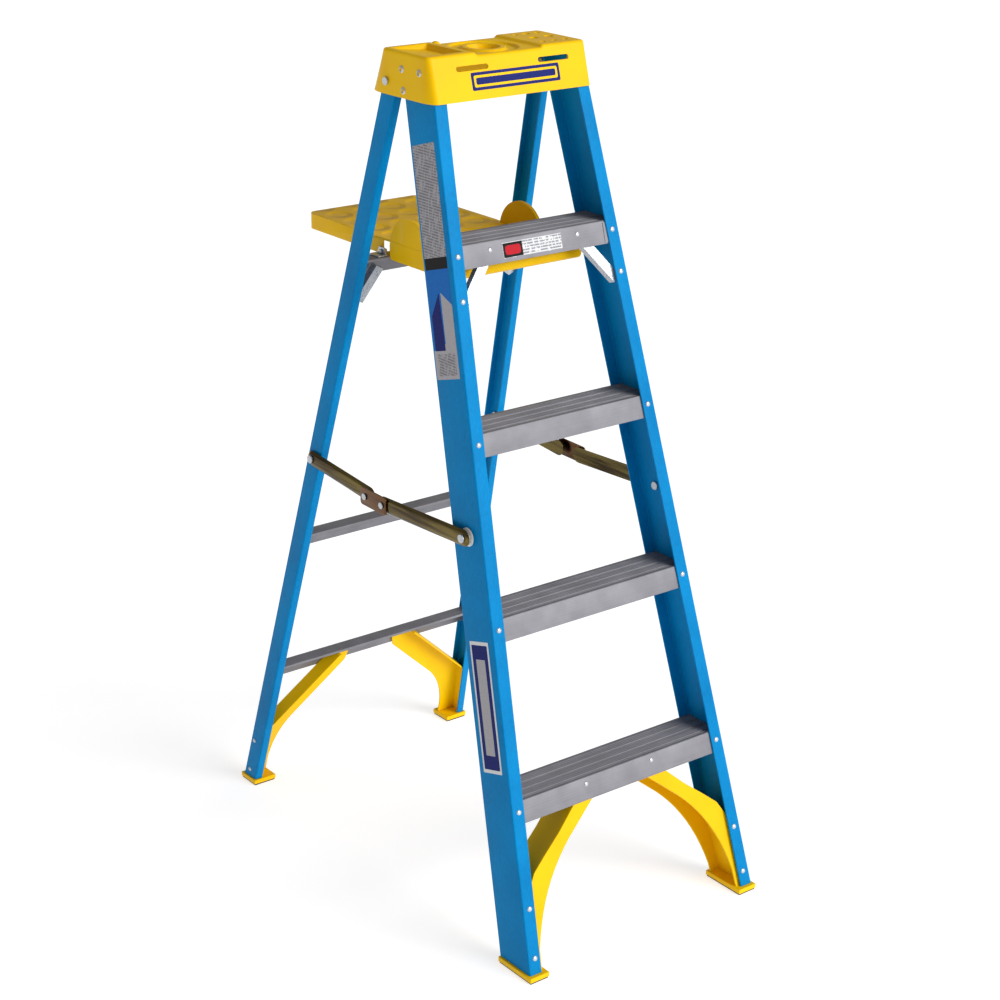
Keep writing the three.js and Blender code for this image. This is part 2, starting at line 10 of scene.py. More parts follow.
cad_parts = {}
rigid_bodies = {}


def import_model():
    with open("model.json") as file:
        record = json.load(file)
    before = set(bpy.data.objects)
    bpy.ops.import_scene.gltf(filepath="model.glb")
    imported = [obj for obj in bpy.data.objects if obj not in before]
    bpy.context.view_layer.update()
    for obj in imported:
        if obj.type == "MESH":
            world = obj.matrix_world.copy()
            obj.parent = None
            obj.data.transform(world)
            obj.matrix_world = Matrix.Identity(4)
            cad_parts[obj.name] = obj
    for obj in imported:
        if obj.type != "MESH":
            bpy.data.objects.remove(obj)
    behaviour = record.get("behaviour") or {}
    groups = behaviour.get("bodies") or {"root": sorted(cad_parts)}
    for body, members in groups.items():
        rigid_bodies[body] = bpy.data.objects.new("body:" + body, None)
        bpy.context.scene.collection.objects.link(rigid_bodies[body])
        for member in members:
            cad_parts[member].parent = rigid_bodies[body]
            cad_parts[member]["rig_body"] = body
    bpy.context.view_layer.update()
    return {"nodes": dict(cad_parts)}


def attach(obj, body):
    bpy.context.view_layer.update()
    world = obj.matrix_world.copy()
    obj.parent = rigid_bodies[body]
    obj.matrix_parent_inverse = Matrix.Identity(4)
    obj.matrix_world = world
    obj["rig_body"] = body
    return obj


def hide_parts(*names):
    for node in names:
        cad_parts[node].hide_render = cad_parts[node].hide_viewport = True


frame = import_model()

# ---- Driving sizes, in millimetres --------------------------------------
MM = 0.001
SIDES = {"left": -1, "right": 1}
FRONT_LEAN = math.radians(16.06)
REAR_LEAN = math.radians(14.51)
FRONT_FOOT = -452.5  # where the front rails' front faces meet the floor
REAR_FOOT = 413.5
HALF_BASE = 254
FRONT_TAPER = 0.067
REAR_TAPER = 0.0653
FRONT_RAIL = {"depth": 79, "flange": 25, "wall": 3.2, "bottom": 11.8, "top": 1440}
REAR_RAIL = {"depth": 38.5, "flange": 16, "wall": 3.2, "bottom": 11.8, "top": 1428}
STEP_TOPS = [291 + 293 * step for step in range(4)]
HORIZONTAL_TOPS = {"lower": 267, "middle": 557, "upper": 1096}
CAP_BOTTOM, CAP_TOP = 1389, 1462


def along_front(x, along, depth):
    """Points in the front rails' plane: along the rails from the floor, and back from their front faces."""
    y = FRONT_FOOT + along * math.sin(FRONT_LEAN) + depth * math.cos(FRONT_LEAN)
    z = along * math.cos(FRONT_LEAN) - depth * math.sin(FRONT_LEAN)
    return np.stack(np.broadcast_arrays(x, y, z), -1)


def front_face(z):
    """Where the front rails' front faces stand at a height."""
    return FRONT_FOOT + z * math.tan(FRONT_LEAN)


def rear_face(z):
    """Where the rear rails' front faces stand at a height."""
    return REAR_FOOT - z * math.tan(REAR_LEAN)


# ---- Materials ----------------------------------------------------------
def linear(code):
    """An sRGB hex colour as linear red, green, blue and alpha."""
    values = [int(code[start:start + 2], 16) / 255 for start in (1, 3, 5)]
    curve = [v / 12.92 if v <= 0.04045 else ((v + 0.055) / 1.055) ** 2.4 for v in values]
    return (*curve, 1.0)


def add(tree, kind, inputs, output=0, **settings):
    """Adds one node with its settings, gives each input a value or a link, and returns one of its outputs."""
    node = tree.nodes.new(f"ShaderNode{kind}")
    for key, value in settings.items():
        setattr(node, key, value)
    for key, value in inputs.items():
        if isinstance(value, bpy.types.NodeSocket):
            tree.links.new(value, node.inputs[key])
        else:
            node.inputs[key].default_value = value
    return node.outputs[output] if node.outputs else None


def start_material(name):
    """An empty material, its node tree and the object's own coordinates in metres."""
    material = bpy.data.materials.new(name)
    material.use_nodes = True
    material.node_tree.nodes.clear()
    return material, material.node_tree, add(material.node_tree, "TexCoord", {}, "Object")


def finish_material(tree, colour, **sockets):
    """Ends a material in one principled shader with this colour and these sockets."""
    inputs = {key.replace("_", " ").title().replace("Ior", "IOR"): value for key, value in sockets.items()}
    shader = add(tree, "BsdfPrincipled", {"Base Color": colour, **inputs})
    add(tree, "OutputMaterial", {"Surface": shader})


def pultruded_fibreglass(name, dark, light, lean):
    """Pultruded polyester fibreglass: satin, with fine pale flecks, 2 by 9 mm, that run along the rail."""
    material, tree, place = start_material(name)
    turned = add(tree, "Mapping", {"Vector": place, "Rotation": (lean, 0, 0)})
    fleck_space = add(tree, "Mapping", {"Vector": turned, "Scale": (520, 520, 110)})
    flecks = add(tree, "TexNoise", {"Vector": fleck_space, "Scale": 1, "Detail": 4})
    clouds = add(tree, "TexNoise", {"Vector": place, "Scale": 9, "Detail": 3})
    both = add(tree, "Math", {0: flecks, 1: clouds}, operation="ADD")
    share = add(tree, "MapRange", {0: both, 1: 0.7, 2: 1.3})
    colour = add(tree, "Mix", {0: share, 6: linear(dark), 7: linear(light)}, 2, data_type="RGBA")
    rough = add(tree, "MapRange", {0: clouds, 1: 0.3, 2: 0.7, 3: 0.34, 4: 0.46})
    bump = add(tree, "Bump", {"Height": flecks, "Strength": 0.12, "Distance": 0.0004})
    finish_material(tree, colour, roughness=rough, specular_ior_level=0.06, normal=bump)
    return material


def moulded_copolymer(name, dark, light, dimple_top=None):
    """Injection-moulded polypropylene: a spark-eroded grain of about 1 mm and faint cloudy flow marks.
    Above dimple_top, in metres, the deck carries shallow round recesses on a 58 mm grid."""
    material, tree, place = start_material(name)
    grain = add(tree, "TexNoise", {"Vector": place, "Scale": 900, "Detail": 2})
    flow = add(tree, "TexNoise", {"Vector": place, "Scale": 14, "Detail": 4})
    share = add(tree, "MapRange", {0: flow, 1: 0.3, 2: 0.7})
    colour = add(tree, "Mix", {0: share, 6: linear(dark), 7: linear(light)}, 2, data_type="RGBA")
    rough = add(tree, "MapRange", {0: flow, 1: 0.3, 2: 0.7, 3: 0.34, 4: 0.46})
    bump = add(tree, "Bump", {"Height": grain, "Strength": 0.15, "Distance": 0.0003})
    if dimple_top:
        shifted = add(tree, "Mapping", {"Vector": place, "Location": (0.029, 0.012, 0)})
        cells = {"Vector": shifted, "Scale": 1 / 0.058, "Randomness": 0.0}
        middle = add(tree, "TexVoronoi", cells, voronoi_dimensions="2D")
        rim = add(tree, "MapRange", {0: middle, 1: 0.24, 2: 0.44})
        height = add(tree, "SeparateXYZ", {"Vector": place}, "Z")
        deck = add(tree, "MapRange", {0: height, 1: dimple_top - 0.0004, 2: dimple_top})
        recess = add(tree, "Math", {0: rim, 1: deck}, operation="MULTIPLY")
        bump = add(tree, "Bump", {"Height": recess, "Strength": 1.0, "Distance": 0.004, "Normal": bump})
    finish_material(tree, colour, roughness=rough, specular_ior_level=0.12, normal=bump)
    return material


def extruded_aluminium(name, dark, light):
    """Mill-finish extruded aluminium: dull silver with die lines running the length of the extrusion."""
    material, tree, place = start_material(name)
    line_space = add(tree, "Mapping", {"Vector": place, "Scale": (3, 700, 700)})
    lines = add(tree, "TexNoise", {"Vector": line_space, "Scale": 1, "Detail": 4})
    bloom = add(tree, "TexNoise", {"Vector": place, "Scale": 22, "Detail": 3})
    both = add(tree, "Math", {0: lines, 1: bloom}, operation="ADD")
    share = add(tree, "MapRange", {0: both, 1: 0.7, 2: 1.3})
    colour = add(tree, "Mix", {0: share, 6: linear(dark), 7: linear(light)}, 2, data_type="RGBA")
    rough = add(tree, "MapRange", {0: lines, 1: 0.3, 2: 0.7, 3: 0.5, 4: 0.66})
    bump = add(tree, "Bump", {"Height": lines, "Strength": 0.25, "Distance": 0.0003})
    finish_material(tree, colour, metallic=0.45, roughness=rough, normal=bump)
    return material


def zinc_plated_steel(name, dark, light):
    """Bright zinc-plated steel: a cool shine with faint drawing marks of about 3 mm."""
    material, tree, place = start_material(name)
    marks = add(tree, "TexNoise", {"Vector": place, "Scale": 330, "Detail": 2})
    clouds = add(tree, "TexNoise", {"Vector": place, "Scale": 60, "Detail": 3})
    both = add(tree, "Math", {0: marks, 1: clouds}, operation="ADD")
    share = add(tree, "MapRange", {0: both, 1: 0.7, 2: 1.3})
    colour = add(tree, "Mix", {0: share, 6: linear(dark), 7: linear(light)}, 2, data_type="RGBA")
    rough = add(tree, "MapRange", {0: both, 1: 0.7, 2: 1.3, 3: 0.24, 4: 0.36})
    bump = add(tree, "Bump", {"Height": clouds, "Strength": 0.1, "Distance": 0.0004})
    finish_material(tree, colour, metallic=0.6, roughness=rough, normal=bump)
    return material


def yellow_chromate_zinc(name, dark, light):
    """Yellow-chromate zinc plate on rolled steel: brown that drifts to dull gold in bands along the part."""
    material, tree, place = start_material(name)
    band_space = add(tree, "Mapping", {"Vector": place, "Scale": (60, 7, 110)})
    bands = add(tree, "TexNoise", {"Vector": band_space, "Scale": 1, "Detail": 3})
    peel = add(tree, "TexNoise", {"Vector": place, "Scale": 300, "Detail": 2})
    share = add(tree, "MapRange", {0: bands, 1: 0.35, 2: 0.65})
    colour = add(tree, "Mix", {0: share, 6: linear(dark), 7: linear(light)}, 2, data_type="RGBA")
    rough = add(tree, "MapRange", {0: bands, 1: 0.3, 2: 0.7, 3: 0.2, 4: 0.32})
    bump = add(tree, "Bump", {"Height": peel, "Strength": 0.08, "Distance": 0.0003})
    finish_material(tree, colour, metallic=1.0, roughness=rough, normal=bump)
    return material


def moulded_rubber(name, dark, light):
    """Moulded rubber: black and matt, with a fine tooth that keeps it from looking flat."""
    material, tree, place = start_material(name)
    tooth = add(tree, "TexNoise", {"Vector": place, "Scale": 700, "Detail": 3})
    share = add(tree, "MapRange", {0: tooth, 1: 0.3, 2: 0.7})
    colour = add(tree, "Mix", {0: share, 6: linear(dark), 7: linear(light)}, 2, data_type="RGBA")
    bump = add(tree, "Bump", {"Height": tooth, "Strength": 0.3, "Distance": 0.0004})
    finish_material(tree, colour, roughness=0.78, specular_ior_level=0.2, normal=bump)
    return material


def printed_rows(name, ground, ink):
    """Vinyl film printed with rows of plain dashes, 4.6 mm apart, that stand for small print."""
    material, tree, place = start_material(name)
    height = add(tree, "SeparateXYZ", {"Vector": place}, "Z")
    phase = add(tree, "Math", {0: height, 1: 0.0046}, operation="MODULO")
    row = add(tree, "Math", {0: phase, 1: 0.0026}, operation="LESS_THAN")
    patch_space = add(tree, "Mapping", {"Vector": place, "Scale": (260, 260, 60)})
    patches = add(tree, "TexNoise", {"Vector": patch_space, "Scale": 1})
    dashes = add(tree, "Math", {0: patches, 1: 0.44}, operation="GREATER_THAN")
    printed = add(tree, "Math", {0: row, 1: dashes}, operation="MULTIPLY")
    colour = add(tree, "Mix", {0: printed, 6: linear(ground), 7: linear(ink)}, 2, data_type="RGBA")
    finish_material(tree, colour, roughness=0.4, specular_ior_level=0.1)
    return material


def smooth_plastic(name, dark, light, roughness=0.35):
    """Printed vinyl film or moulded nylon: an even colour with a faint orange peel of about 3 mm."""
    material, tree, place = start_material(name)
    peel = add(tree, "TexNoise", {"Vector": place, "Scale": 330, "Detail": 2})
    share = add(tree, "MapRange", {0: peel, 1: 0.3, 2: 0.7})
    colour = add(tree, "Mix", {0: share, 6: linear(dark), 7: linear(light)}, 2, data_type="RGBA")
    bump = add(tree, "Bump", {"Height": peel, "Strength": 0.05, "Distance": 0.0003})
    finish_material(tree, colour, roughness=roughness, specular_ior_level=0.1, normal=bump)
    return material


def painted_floor(name, dark, light):
    """Painted studio floor: pale and even, with a little light of its own that keeps the shadows faint."""
    material, tree, place = start_material(name)
    mottle = add(tree, "TexNoise", {"Vector": place, "Scale": 0.4})
    colour = add(tree, "Mix", {0: mottle, 6: linear(dark), 7: linear(light)}, 2, data_type="RGBA")
    finish_material(tree, colour, roughness=0.9, emission_color=colour, emission_strength=0.9)
    return material


MATERIALS = {
    "front_rail": pultruded_fibreglass("pultruded_fibreglass_front", "#0074b0", "#0088c8", FRONT_LEAN),
    "rear_rail": pultruded_fibreglass("pultruded_fibreglass_rear", "#0074b0", "#0088c8", -REAR_LEAN),
    "yellow": moulded_copolymer("moulded_polypropylene_yellow", "#efbb00", "#f6c600"),
    "shelf_yellow": moulded_copolymer("moulded_polypropylene_yellow_dimpled", "#eab600", "#f2c200", 1.1249),
    "aluminium": extruded_aluminium("extruded_aluminium_mill", "#78777c", "#8e8d93"),
    "zinc": zinc_plated_steel("zinc_plated_steel", "#b4b8be", "#c4c8cc"),
    "rivet": zinc_plated_steel("upset_aluminium_rivet", "#b6b9bd", "#cfd2d5"),
    "chromate": yellow_chromate_zinc("yellow_chromate_zinc_arms", "#3c3020", "#706234"),
    "chromate_link": yellow_chromate_zinc("yellow_chromate_zinc_link", "#4e3424", "#6e5034"),
    "rubber": moulded_rubber("moulded_rubber_black", "#151517", "#2a2a2c"),
    "nylon": smooth_plastic("moulded_nylon_white", "#dededb", "#f2f2ef", 0.45),
    "yellow_print": smooth_plastic("printed_vinyl_yellow", "#f0be00", "#f8cb00"),
    "silver_vinyl": smooth_plastic("metallised_vinyl_silver", "#a3a1a5", "#aeacb0", 0.4),
    "white_vinyl": smooth_plastic("printed_vinyl_white", "#d6d6d8", "#e0e0e1"),
    "navy_vinyl": smooth_plastic("printed_vinyl_navy", "#02125e", "#041a70"),
    "blue_vinyl": smooth_plastic("printed_vinyl_blue", "#0062b4", "#006cc0"),
    "black_vinyl": smooth_plastic("printed_vinyl_black", "#050508", "#0a0a0e"),
    "printed_silver": printed_rows("metallised_vinyl_printed_rows", "#a3a1a5", "#77767b"),
    "printed_white": printed_rows("white_vinyl_printed_rows", "#d9d9da", "#8d9096"),
    "red_vinyl": smooth_plastic("printed_vinyl_red", "#b01020", "#bd1626"),
}


# ---- Mesh tools ---------------------------------------------------------
def make_piece(name, shape, body, material, replaces=(), smooth=35):
    """One finished piece from points in millimetres and faces, with its faces turned outwards."""
    points, faces = shape
    mesh = bpy.data.meshes.new(name)
    mesh.from_pydata((np.asarray(points) * MM).tolist(), [], [list(map(int, face)) for face in faces])
    mesh.calc_loop_triangles()
    corners = np.array([mesh.vertices[v].co for t in mesh.loop_triangles for v in t.vertices]).reshape(-1, 3, 3)
    if np.einsum("ij,ij->", corners[:, 0], np.cross(corners[:, 1], corners[:, 2])) < 0:
        mesh.flip_normals()
    mesh.polygons.foreach_set("use_smooth", np.ones(len(mesh.polygons), bool))
    mesh.set_sharp_from_angle(angle=math.radians(smooth))
    mesh.materials.append(MATERIALS[material])
    obj = bpy.data.objects.new(name, mesh)
    bpy.context.scene.collection.objects.link(obj)
    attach(obj, body)
    if replaces:
        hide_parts(*replaces)
    return obj


def joined(*shapes):
    """Several closed shapes as one list of points and faces."""
    points, faces, count = [], [], 0
    for shape_points, shape_faces in shapes:
        points.append(np.asarray(shape_points).reshape(-1, 3))
        faces += [[corner + count for corner in face] for face in shape_faces]
        count += len(points[-1])
    return np.concatenate(points), faces


def rounded(corners, radius, steps=4):
    """A closed outline with soft corners: each corner becomes a parabola that starts and ends radius away."""
    corners = np.asarray(corners, float)
    radius = np.broadcast_to(radius, len(corners))
    legs = []
    for shift in (1, -1):
        leg = np.roll(corners, shift, 0) - corners
        length = np.linalg.norm(leg, axis=1)
        legs.append(leg * (np.minimum(radius, 0.45 * length) / length)[:, None])
    t = np.linspace(0, 1, steps + 1)[None, :, None]
    arcs = corners[:, None] + (1 - t) ** 2 * legs[0][:, None] + t ** 2 * legs[1][:, None]
    return arcs.reshape(-1, 2)


def loft(sections):
    """A closed body through a row of closed sections, which all have the same number of points."""
    sections = np.asarray(sections)
    rows, columns = sections.shape[:2]
    index = np.arange(rows * columns).reshape(rows, columns)
    near, far = index[:-1], index[1:]
    sides = np.stack([near, np.roll(near, -1, 1), np.roll(far, -1, 1), far], -1).reshape(-1, 4).tolist()
    return sections.reshape(-1, 3), sides + [index[0][::-1].tolist(), index[-1].tolist()]


def across(outline, low, high):
    """An outline in y and z carried along x."""
    outline = np.asarray(outline)
    return loft([np.column_stack([np.full(len(outline), x), outline]) for x in (low, high)])


def slab(outline, low, high, edge=0.8, steps=3):
    """An outline in y and z carried along x, with its rims rounded: near each face the outline shrinks along
    its own normals as a quarter circle does. The edge is signed like high minus low."""
    outline = np.asarray(outline, float)
    tangent = np.roll(outline, -1, 0) - np.roll(outline, 1, 0)
    normal = np.column_stack([tangent[:, 1], -tangent[:, 0]]) / np.linalg.norm(tangent, axis=1)[:, None]
    area = np.sum(outline[:, 0] * np.roll(outline[:, 1], -1) - outline[:, 1] * np.roll(outline[:, 0], -1))
    normal *= np.sign(area)
    turn = np.linspace(0, math.pi / 2, steps + 1)
    inset = abs(edge) * (1 - np.sin(turn))
    rise = edge * (1 - np.cos(turn))
    places = [(low + r, i) for r, i in zip(rise, inset)] + [(high - r, i) for r, i in zip(rise[::-1], inset[::-1])]
    return loft([np.column_stack([np.full(len(outline), x), outline - i * normal]) for x, i in places])


def shell(outer, inner, keep):
    """A sheet with a thickness: two grids of points, joined round the rim and round every hole.
    keep says which cells of the grid are material."""
    rows, columns = outer.shape[:2]
    index = np.arange(rows * columns).reshape(rows, columns)
    far = rows * columns
    a, b, c, d = index[:-1, :-1], index[1:, :-1], index[1:, 1:], index[:-1, 1:]
    padded = np.pad(keep, 1)
    first, second = index[:-1, :], index[1:, :]
    below, above = padded[1:-1, :-1], padded[1:-1, 1:]
    left, right = index[:, :-1], index[:, 1:]
    before, after = padded[:-1, 1:-1], padded[1:, 1:-1]
    groups = [
        np.stack([a, b, c, d], -1)[keep],
        np.stack([d, c, b, a], -1)[keep] + far,
        np.stack([second, first, first + far, second + far], -1)[above & ~below],
        np.stack([first, second, second + far, first + far], -1)[below & ~above],
        np.stack([left, right, right + far, left + far], -1)[after & ~before],
        np.stack([right, left, left + far, right + far], -1)[before & ~after],
    ]
    faces = np.concatenate(groups)
    used, faces = np.unique(faces, return_inverse=True)
    points = np.concatenate([outer.reshape(-1, 3), inner.reshape(-1, 3)])[used]
    return points, faces.reshape(-1, 4).tolist()


def turned(profile, centre, axis, sides=24):
    """A body of revolution: rings of (radius, height) about an axis, closed by a fan at each end."""
    profile = np.asarray(profile, float)
    axis = np.asarray(axis, float) / np.linalg.norm(axis)
    helper = np.array([0, 0, 1.0]) if abs(axis[2]) < 0.9 else np.array([1.0, 0, 0])
    first = np.cross(axis, helper)
    first /= np.linalg.norm(first)
    second = np.cross(axis, first)
    angle = np.linspace(0, 2 * math.pi, sides, endpoint=False)
    ring = np.cos(angle)[:, None] * first + np.sin(angle)[:, None] * second
    points = profile[:, 0, None, None] * ring + profile[:, 1, None, None] * axis
    return loft(points + np.asarray(centre, float))


def rivets(sites, axis, radius, height, hollow=False):
    """Domed rivet heads on a surface: an ellipse turned about the axis, with a small dimple in hollow ones."""
    bend = np.linspace(0.05, 1, 6) * math.pi / 2
    profile = [(radius, -0.6)] + [(radius * math.cos(b) + 0.02, height * math.sin(b)) for b in bend]
    if hollow:
        shank, bore = radius * 0.66, radius * 0.5
        profile = [(shank, -8), (shank, -1), (radius, -1)] + profile[1:4]
        profile += [(radius * 0.6, height), (bore + 0.1, height * 0.6), (bore, -7)]
    return joined(*(turned(profile, site, axis, 16) for site in sites))


def softened(node, width, material, smooth=30):
    """A copy of a frame node with its coplanar triangles merged and its edges rounded."""
    source = frame["nodes"][node]
    mesh = source.data.copy()
    work = bmesh.new()
    work.from_mesh(mesh)
    bmesh.ops.remove_doubles(work, verts=work.verts, dist=1e-6)
    bmesh.ops.dissolve_limit(work, angle_limit=math.radians(0.6), verts=work.verts, edges=work.edges)
    work.to_mesh(mesh)
    work.free()
    mesh.materials.clear()
    mesh.materials.append(MATERIALS[material])
    mesh.polygons.foreach_set("use_smooth", np.ones(len(mesh.polygons), bool))
    mesh.set_sharp_from_angle(angle=math.radians(smooth))
    obj = bpy.data.objects.new(f"{node}_finished", mesh)
    bpy.context.scene.collection.objects.link(obj)
    bevel = obj.modifiers.new("rounded_edges", "BEVEL")
    bevel.width = width * MM
    bevel.segments = 2
    bevel.limit_method = "ANGLE"
    bevel.angle_limit = math.radians(32)
    bevel.use_clamp_overlap = True
    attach(obj, source["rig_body"])
    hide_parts(node)
    return obj


# ---- Rails: pultruded channels with soft corners ------------------------
def rail(name, side, sizes, lean, taper, foot, body, material):
    """A level channel outline carried up a straight line that leans back and in."""
    depth = sizes["depth"] / math.cos(lean)
    wall = sizes["wall"] / math.cos(lean)
    web, tip = sizes["wall"], sizes["flange"]
    corners = [(0, 0), (0, depth), (tip, depth), (tip, depth - wall)]
    corners += [(web, depth - wall), (web, wall), (tip, wall), (tip, 0)]
    outline = rounded(corners, [3.2, 3.2, 1.4, 1.4, 2.4, 2.4, 1.4, 1.4], 5)
    sections = []
    for z in (sizes["bottom"], sizes["top"]):
        x = side * (HALF_BASE - taper * z - outline[:, 0])
        y = foot + z * math.tan(lean) + outline[:, 1]
        sections.append(np.column_stack([x, y, np.full(len(outline), z)]))
    make_piece(f"{name}_channel", loft(sections), body, material, [name], 40)


def rails():
    """The four rails: two deep ones in front and two slim ones behind."""
    for side_name, side in SIDES.items():
        rail(f"front_rail_{side_name}", side, FRONT_RAIL, FRONT_LEAN, FRONT_TAPER, FRONT_FOOT,
             "front_section", "front_rail")
        rail(f"rear_rail_{side_name}", side, REAR_RAIL, -REAR_LEAN, REAR_TAPER, REAR_FOOT,
             "rear_section", "rear_rail")


# ---- Treads: ribbed extrusions with some deeper grooves --------------------
def tread_outline(top):
    """The tread's section: fine grooves across a level top, each fourth one nearly three times as deep, and
    two skirts."""
    lean = math.tan(FRONT_LEAN)
    scale = 1 / math.cos(FRONT_LEAN)
    near = front_face(top) + 3.55 * scale
    far = front_face(top) + 75.45 * scale
    sheet, skirt, rib, pitch = 2.4, 37.8, 1.2, 4.9
    points = [(near, top)]
    start, grooves = near + 4, 0
    while start + pitch < far - 3:
        deep = rib * (2.8 if grooves % 4 == 1 else 1)
        grooves += 1
        points += [(start, top), (start + 0.25 * pitch, top - deep), (start + 0.6 * pitch, top - deep)]
        points += [(start + 0.85 * pitch, top)]
        start += pitch
    points += [(far, top), (far - skirt * lean, top - skirt), (far - sheet - skirt * lean, top - skirt)]
    under = 2 * sheet + 0.6
    points += [(far - sheet - under * lean, top - under), (near + sheet - under * lean, top - under)]
    points += [(near + sheet - skirt * lean, top - skirt), (near - skirt * lean, top - skirt)]
    radius = np.full(len(points), 0.5)
    radius[[0, -7]] = 1.8
    return rounded(points, radius, 3)


def treads():
    """The four treads, each cut to the rails' spacing at its own height."""
    for number, top in enumerate(STEP_TOPS, 1):
        half = HALF_BASE - FRONT_TAPER * top - 3.55
        tread = across(tread_outline(top), -half, half)
        name = f"step_{number}"
        make_piece(f"{name}_tread", tread, "front_section", "aluminium", [name], 30)


# ---- Rear horizontals ---------------------------------------------------
def horizontal_outline(top):
    """A level ledge with a small lip in front and a deep web behind, both along the rails' slope."""
    lean = math.tan(REAR_LEAN)
    scale = 1 / math.cos(REAR_LEAN)
    near = rear_face(top) + 3.55 * scale
    far = rear_face(top) + 34.95 * scale
    sheet, lip, drop = 2.2, 5.2, 36
    corners = [(near, top), (near + lip * lean, top - lip), (near + sheet + lip * lean, top - lip)]
    corners += [(near + sheet + sheet * lean, top - sheet), (far - sheet + sheet * lean, top - sheet)]
    corners += [(far - sheet + drop * lean, top - drop), (far + drop * lean, top - drop), (far, top)]
    return rounded(corners, [1.6, 0.8, 0.8, 0.6, 0.6, 0.8, 0.8, 1.6], 3)


def horizontals():
    """The three horizontals between the rear rails."""
    for place, top in HORIZONTAL_TOPS.items():
        half = HALF_BASE - REAR_TAPER * top - 3.55
        shape = across(horizontal_outline(top), -half, half)
        name = f"rear_horizontal_{place}"
        make_piece(f"{name}_section", shape, "rear_section", "aluminium", [name], 30)


# ---- Upside-down trays: the cap and the shelf's deck --------------------
def stadium(px, py, hole):
    """Signed distance to a hole's outline: a point spread into a bar along x, less a radius."""
    x, y, half_length, radius = hole
    dx = px - x
    return np.hypot(dx - np.clip(dx, -half_length, half_length), py - y) - radius


def cut_holes(px, py, holes, reach):
    """Says which cells are material, and slides the points beside each hole onto its outline."""
    cx = (px[:-1, :-1] + px[1:, 1:]) / 2
    cy = (py[:-1, :-1] + py[1:, 1:]) / 2
    keep = np.ones(cx.shape, bool)
    for hole in holes:
        inside = stadium(cx, cy, hole) < 0
        keep &= ~inside
        padded = np.pad(inside, 1)
        touching = padded[:-1, :-1] | padded[1:, :-1] | padded[:-1, 1:] | padded[1:, 1:]
        padded = np.pad(~inside, 1)
        touching &= padded[:-1, :-1] | padded[1:, :-1] | padded[:-1, 1:] | padded[1:, 1:]
        distance = stadium(px, py, hole)
        touching &= np.abs(distance) < reach
        x, y, half_length, _ = hole
        away_x = px - x - np.clip(px - x, -half_length, half_length)
        away_y = py - y
        length = np.maximum(np.hypot(away_x, away_y), 1e-6)
        px = np.where(touching, px - distance * away_x / length, px)
        py = np.where(touching, py - distance * away_y / length, py)
    return px, py, keep


def draped(px, py, tray, inset):
    """A tray turned upside down. Inside its core a point keeps its own x and y. Beyond it, the distance out
    is a path over the rounded brim and down the sloping wall, and a corner's square of points fans into a
    quarter circle. inset moves the surface inwards, square to itself."""
    half_x, near, far = tray["core"]
    corner, brim, depth = tray["corner"], tray["brim"], tray["top"] - tray["bottom"]
    turn = np.linspace(0, math.pi / 2, 7)
    flat = corner - brim
    length = np.concatenate([[0], flat + brim * turn, [flat + brim * math.pi / 2 + depth - brim]])
    out = np.concatenate([[0], flat + brim * np.sin(turn), [corner]])
    drop = np.concatenate([[0], brim * (1 - np.cos(turn)), [depth]])
    side_share = np.concatenate([[0], np.sin(turn), [1]])
    rise_share = np.concatenate([[1], np.cos(turn), [0]])
    dx = np.maximum(np.abs(px) - half_x, 0)
    dy = np.maximum(py - far, 0) + np.maximum(near - py, 0)
    reach = np.maximum(dx, dy)
    small = np.minimum(dx, dy) / np.maximum(reach, 1e-9)
    angle = np.where(dx >= dy, small * math.pi / 4, math.pi / 2 - small * math.pi / 4)
    way_x = np.where(reach > 0, np.cos(angle), 0) * np.sign(px)
    way_y = np.where(reach > 0, np.sin(angle), 0) * np.where(py > far, 1, -1)
    a = np.interp(reach, length, out) - inset * np.interp(reach, length, side_share)
    b = np.interp(reach, length, drop)
    fall = inset * np.interp(reach, length, rise_share)
    flare_x, flare_near, flare_far = tray["flare"]
    flare_y = np.where(way_y < 0, flare_near, flare_far)
    core_x, core_y = np.clip(px, -half_x, half_x), np.clip(py, near, far)
    x = core_x + way_x * (a + flare_x * b)
    y = core_y + way_y * (a + flare_y * b)
    deck = tray["height"](core_x + way_x * np.minimum(a, corner), core_y + way_y * np.minimum(a, corner))
    z = tray["top"] - b + (deck - tray["top"]) * np.clip(1 - b / 9, 0, 1) - fall
    return np.stack([x, y, z], -1)


def ramp(value, width):
    """A smooth step from 0 to 1 as value goes from minus width to width."""
    t = np.clip((value + width) / (2 * width), 0, 1)
    return t * t * (3 - 2 * t)


def tray_grid(tray, spacing, rows_down):
    """Grid lines over the core, closer over the brim, then down the wall."""
    half_x, near, far = tray["core"]
    brim_end = tray["corner"] - tray["brim"] + tray["brim"] * math.pi / 2
    wall_end = brim_end + tray["top"] - tray["bottom"] - tray["brim"]
    skirt = np.concatenate([np.linspace(0, brim_end, 8)[1:], np.linspace(brim_end, wall_end, rows_down + 1)[1:]])
    count = int(round(2 * half_x / spacing))
    lines_x = np.concatenate([-half_x - skirt[::-1], np.linspace(-half_x, half_x, count + 1), half_x + skirt])
    count = int(round((far - near) / spacing))
    lines_y = np.concatenate([near - skirt[::-1], np.linspace(near, far, count + 1), far + skirt])
    return np.meshgrid(lines_x, lines_y, indexing="ij"), brim_end, wall_end


CAP_CENTRE = -452.5 + 480
CAP_NEAR, CAP_FAR = front_face(CAP_TOP) - 4.6, 90.5
CAN_RING = (-4, CAP_CENTRE - 2)
TOOL_HOLES = [(92, -39, 5.5), (116, -39, 5.5), (140, -39, 5.5), (104, 0, 8.5), (136, 0, 8.5), (96, 39, 5.5),
              (118, 39, 7), (142, 39, 5.5)]


